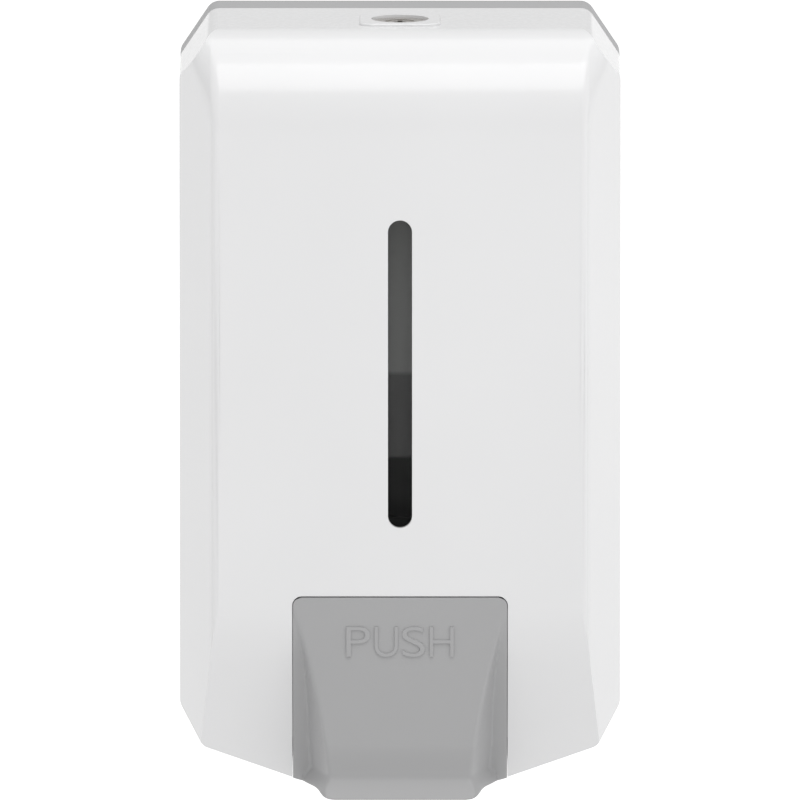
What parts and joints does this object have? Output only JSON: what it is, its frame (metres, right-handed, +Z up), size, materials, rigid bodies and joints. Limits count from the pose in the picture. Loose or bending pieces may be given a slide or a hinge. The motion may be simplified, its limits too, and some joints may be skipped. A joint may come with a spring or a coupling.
{
  "type": "wall mounted soap dispenser",
  "caption": "Upright wall soap dispenser with a bevelled white cover, a level window, a keyed lock on top and a grey push lever below.",
  "frame": {"origin": "centre of the four wall holes, on the back face", "axes": "+Y into the wall, -Y out of the front, +Z up, +X to the right of someone facing it"},
  "size_m": [0.125, 0.0945, 0.2164],
  "materials": {
    "white_shell": "glossy moulded ABS",
    "grey_shell": "satin moulded ABS",
    "smoked_window": "smoked clear plastic",
    "lock_metal": "satin nickel",
    "zinc_steel": "zinc plated",
    "spring_steel": "drawn wire",
    "tank_plastic": "translucent polypropylene",
    "inner_grey": "moulded",
    "inner_white": "moulded acetal",
    "seal_rubber": "silicone"
  },
  "bodies": {
    "wall_unit": {"back_plate": "grey_shell", "lock_striker": "zinc_steel", "striker_screws": "zinc_steel", "hinge_pins": "zinc_steel", "reservoir_bracket": "inner_grey", "bracket_screws": "zinc_steel", "reservoir": "tank_plastic", "reservoir_lid": "tank_plastic", "lid_gasket": "seal_rubber", "neck_gasket": "seal_rubber", "union_nut": "inner_white", "pump_body": "inner_white", "valve_cage": "inner_white", "inlet_spring": "spring_steel", "pump_spring": "spring_steel", "pump_end_cap": "inner_white"},
    "inlet_ball": {"inlet_ball": "spring_steel"},
    "piston": {"piston_stem": "inner_white", "piston_seal": "seal_rubber", "lift_collar": "inner_white", "nozzle_valve": "seal_rubber"},
    "cover": {"front_cover": "white_shell", "sight_window": "smoked_window", "window_retainer": "inner_white", "lock_barrel": "lock_metal", "lock_nut": "zinc_steel", "lever_pins": "zinc_steel"},
    "lock_rotor": {"lock_plug": "lock_metal", "lock_cam": "zinc_steel", "cam_screw": "zinc_steel"},
    "push_lever": {"push_lever": "grey_shell", "lever_fork": "inner_grey", "fork_screws": "zinc_steel"}
  },
  "joints": [
    {"name": "cover_swing", "type": "hinge", "parent": "wall_unit", "child": "cover", "pos_m": [0, -0.017, -0.085], "axis": [1, 0, 0], "range_deg": [0, 90]},
    {"name": "lever_press", "type": "hinge", "parent": "cover", "child": "push_lever", "pos_m": [0, -0.074, -0.047], "axis": [1, 0, 0], "range_deg": [0, 12], "stiffness_Nm_per_rad": 0.6, "springref_deg": -6.88},
    {"name": "pump_stroke", "type": "slide", "parent": "wall_unit", "child": "piston", "axis": [0, 0, 1], "range_m": [0, 0.0061], "deforming": ["pump_spring"]},
    {"name": "inlet_ball_lift", "type": "slide", "parent": "wall_unit", "child": "inlet_ball", "axis": [0, 0, -1], "range_m": [0, 0.0015], "stiffness_N_per_m": 20, "springref_m": -0.003, "deforming": ["inlet_spring"]},
    {"name": "lock_turn", "type": "hinge", "parent": "cover", "child": "lock_rotor", "pos_m": [0, -0.0428, 0.109], "axis": [0, 0, 1], "range_deg": [0, 90]}
  ],
  "couplings": [
    {"joint": "pump_stroke", "follows": "lever_press", "m_per_rad": 0.02905}
  ]
}
